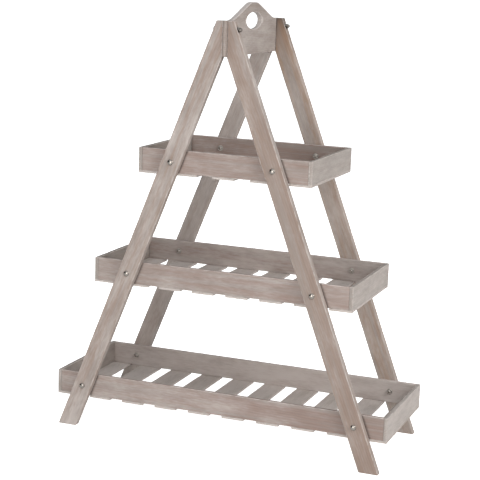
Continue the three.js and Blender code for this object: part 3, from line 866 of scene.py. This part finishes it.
def washer(name, foot, axis):
    """A stamped washer: its profile is a thin rectangle with its outer arrises rolled over."""
    t, bevel = WASHER_THICKNESS, WASHER_BEVEL
    bore, face, rim = WASHER_BORE, WASHER_RADIUS - bevel, WASHER_RADIUS
    places = np.array([0, 0, bevel, t - bevel, t, t])
    radii = np.array([bore, face, rim, rim, face, bore])
    return ring_of(name, places, radii, foot, axis)


def hexagon_radius(across_flats):
    """Distance from a hexagon's centre to its edge, angle by angle: apothem / cos(angle)."""
    angle = 2 * np.pi * np.arange(STEEL_SIDES) / STEEL_SIDES
    return across_flats / 2 / np.cos(np.mod(angle, np.pi / 3) - np.pi / 6)


def nut(name, foot, axis):
    """A hexagon nut whose corners are turned off by a cone at both faces: where the radius is
    r, the cone drops (r - flat face's radius) * tan(30 degrees) below the face."""
    corner = hexagon_radius(NUT_ACROSS_FLATS)
    zero = 0 * corner
    face = zero + NUT_FACE_SHARE * NUT_ACROSS_FLATS / 2
    drop = (corner - face) * np.tan(NUT_CONE)
    bore = zero + SHANK_RADIUS - THREAD_DEPTH / 2
    mouth = bore + NUT_COUNTERSINK
    half_places = [zero + NUT_COUNTERSINK, zero, zero, drop]
    places = np.stack(half_places + [NUT_HEIGHT - place for place in half_places[::-1]])
    half_radii = [bore, mouth, face, corner]
    radii = np.stack(half_radii + half_radii[::-1])
    return ring_of(name, places, radii, foot, axis)


nickel = plated_steel("nickel_plated_steel", NICKEL, NICKEL_CLOUD, NICKEL_ROUGHNESS)
for tray in TRAYS:
    for row, inward in (("front", 1.0), ("back", -1.0)):
        rail_low, rail_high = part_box(f"{tray}_tray_{row}_rail")
        rail_inside = rail_high[1] if row == "front" else rail_low[1]
        for hand in ("left", "right"):
            node = f"{tray}_tray_{row}_{hand}_bolt"
            low, high = (np.array(corner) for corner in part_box(node))
            x, _, z = (low + high) / 2
            head_top, shank_end = (low[1], high[1]) if row == "front" else (high[1], low[1])
            axis = (0, inward, 0)
            head_foot = head_top + inward * HEAD_HEIGHT
            nut_washer = (x, rail_inside, z)
            nut_foot = (x, rail_inside + inward * WASHER_THICKNESS, z)
            length = abs(shank_end - head_foot)
            shank = bolt(f"{node}_steel", (x, head_foot, z), axis, length)
            finish_piece(shank, "bolt_steel", nickel, node)
            head_washer = washer(f"{node}_head_washer", (x, head_foot, z), axis)
            finish_piece(head_washer, "bolt_steel", nickel)
            for piece in (
                washer(f"{node}_nut_washer", nut_washer, axis),
                nut(f"{node}_nut", nut_foot, axis),
            ):
                finish_piece(piece, "bolt_steel", zinc)

# ---- Crest bolts ----
# Two longer nickel-plated bolts, along the trays' direction through leg, crest board and leg.
# Their washers lie in flat seats cut into the legs' slanting edges, and closed cap nuts of
# nickel gone dark cover the threads on the right-hand side.

CROWN_INSET = 0.0004  # the cap's round crown, within the flats of its hexagon
CROWN_RIM = 0.0010
TARNISH, TARNISH_CLOUD, TARNISH_ROUGHNESS = "#857f79", "#6d6863", 0.26

dark_nickel = plated_steel("tarnished_nickel", TARNISH, TARNISH_CLOUD, TARNISH_ROUGHNESS)
for row in ("front", "back"):
    low, high = (np.array(corner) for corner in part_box(f"crest_{row}_bolt"))
    _, y, z = (low + high) / 2
    along_x = (1, 0, 0)
    head_foot = (low[0] + HEAD_HEIGHT, y, z)
    long_bolt = bolt(f"crest_{row}_bolt_steel", head_foot, along_x, high[0] - head_foot[0])
    finish_piece(long_bolt, "bolt_steel", nickel, f"crest_{row}_bolt")
    head_washer = washer(f"crest_{row}_bolt_washer", head_foot, along_x)
    finish_piece(head_washer, "bolt_steel", nickel)

    cap_low, cap_high = (np.array(corner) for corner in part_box(f"crest_{row}_cap_nut"))
    seat = (cap_low[0], y, z)
    nut_washer = washer(f"crest_{row}_cap_nut_washer", seat, along_x)
    finish_piece(nut_washer, "bolt_steel", dark_nickel)
    foot = (cap_low[0] + WASHER_THICKNESS, y, z)
    hexagon = nut(f"crest_{row}_cap_nut_hexagon", foot, along_x)
    finish_piece(hexagon, "bolt_steel", dark_nickel, f"crest_{row}_cap_nut")
    crown = (cap_low[0] + WASHER_THICKNESS + NUT_HEIGHT, y, z)
    crown_height = cap_high[0] - crown[0]
    places, radii = dome(NUT_ACROSS_FLATS / 2 - CROWN_INSET, crown_height, CROWN_RIM)
    grid = turned(-places[::-1], radii[::-1], crown, along_x)
    cap = closed_mesh(f"crest_{row}_cap_nut_crown", grid)
    finish_piece(cap, "bolt_steel", dark_nickel)

# ---- Floor, light and camera ----
# A plain pale floor that runs on out of sight, a dim even surround with a pale backdrop, and
# large soft lamps to the right, in front, behind and above. The camera stands to the right of
# the front and looks a little down.

FLOOR_HALF_SIZE = 30.0
FLOOR_COLOUR = "#f8f8f7"
FLOOR_GLOW = 0.90  # shows to the camera alone: shadows stay faint and no metal mirrors it
SURROUND_LIGHT = 0.12
BACKDROP_LIGHT = 1.1  # what the camera sees behind the floor
WARM, COOL = (1.0, 0.975, 0.95), (0.92, 0.965, 1.0)
LAMPS = {  # place, target, width, height and power
    "side_lamp": ((2.9, -1.2, 1.8), (0, 0, 0.5), 2.2, 2.2, 62),
    "front_lamp": ((0.0, -2.4, 0.75), (0, 0, 0.6), 1.3, 1.8, 26),
    "back_lamp": ((0.5, 2.9, 1.4), (0, 0, 0.5), 1.8, 1.8, 18),
}
SKY_POWER = 1.5
SKY_SPREAD = np.radians(80)
SKY_TILT = np.radians([20, 10, 0])
CAMERA_PLACE = (1.1746, -3.0999, 1.1241)
CAMERA_YAW, CAMERA_PITCH, CAMERA_ROLL = np.radians([20.92, -11.11, 2.06])
CAMERA_LENS = 105.17  # mm, on a 36 mm wide frame

side = FLOOR_HALF_SIZE
corners = [(-side, -side, 0), (side, -side, 0), (side, side, 0), (-side, side, 0)]
mesh = bpy.data.meshes.new("floor")
mesh.from_pydata(corners, [], [(0, 1, 2, 3)])
floor = bpy.data.objects.new("floor", mesh)
bpy.context.scene.collection.objects.link(floor)
paint = bpy.data.materials.new("white_acrylic_sheet")
paint.use_nodes = True
paint.node_tree.nodes.clear()
sheet = add(paint, "BsdfDiffuse", {"Color": linear(FLOOR_COLOUR)})["BSDF"]
glow = add(paint, "Emission", {"Color": (1, 1, 1, 1), "Strength": FLOOR_GLOW})["Emission"]
glowing = add(paint, "AddShader", {0: sheet, 1: glow})["Shader"]
seen = add(paint, "LightPath", {})["Is Camera Ray"]
surface = add(paint, "MixShader", {0: seen, 1: sheet, 2: glowing})["Shader"]
add(paint, "OutputMaterial", {"Surface": surface})
mesh.materials.append(paint)

world = bpy.data.worlds.new("studio")
world.use_nodes = True
world.node_tree.nodes.clear()
around = add(world, "Background", {"Color": (1, 1, 1, 1), "Strength": SURROUND_LIGHT})[0]
behind = add(world, "Background", {"Color": (1, 1, 1, 1), "Strength": BACKDROP_LIGHT})[0]
seen = add(world, "LightPath", {})["Is Camera Ray"]
shown = add(world, "MixShader", {0: seen, 1: around, 2: behind})[0]
add(world, "OutputWorld", {"Surface": shown})
bpy.context.scene.world = world
bpy.context.scene.view_settings.view_transform = "Standard"


def view_axes(away):
    """Right, up and backward directions of something that looks against this vector.

    Right is up x backward, with up leaning a hair, so that it may look straight down too."""
    back = np.array(away, float) / np.linalg.norm(away)
    right = np.cross([0, 0.001, 1], back)
    right /= np.linalg.norm(right)
    return right, np.cross(back, right), back


def soft_lamp(name, place, target, width, height, power, colour):
    """A flat lamp of this width and height at a place, turned to its target."""
    lamp = bpy.data.lights.new(name, "AREA")
    lamp.shape = "RECTANGLE"
    lamp.size = width
    lamp.size_y = height
    lamp.energy = power
    lamp.color = colour
    made = bpy.data.objects.new(name, lamp)
    bpy.context.scene.collection.objects.link(made)
    turn = np.column_stack(view_axes(np.subtract(place, target)))
    made.matrix_world = Matrix.Translation(place) @ Matrix(turn.tolist()).to_4x4()


for name, shape in LAMPS.items():
    soft_lamp(name, *shape, WARM)

sky = bpy.data.lights.new("sky_lamp", "SUN")
sky.energy, sky.angle, sky.color = SKY_POWER, SKY_SPREAD, COOL
sky_lamp = bpy.data.objects.new("sky_lamp", sky)
bpy.context.scene.collection.objects.link(sky_lamp)
sky_lamp.rotation_euler = SKY_TILT

camera = bpy.data.objects.new("camera", bpy.data.cameras.new("camera"))
camera.data.sensor_width = 36
camera.data.lens = CAMERA_LENS
camera.matrix_world = (
    Matrix.Translation(CAMERA_PLACE)
    @ Matrix.Rotation(CAMERA_YAW, 4, "Z")
    @ Matrix.Rotation(np.pi / 2 + CAMERA_PITCH, 4, "X")
    @ Matrix.Rotation(CAMERA_ROLL, 4, "Z")
)
bpy.context.scene.collection.objects.link(camera)
bpy.context.scene.camera = camera
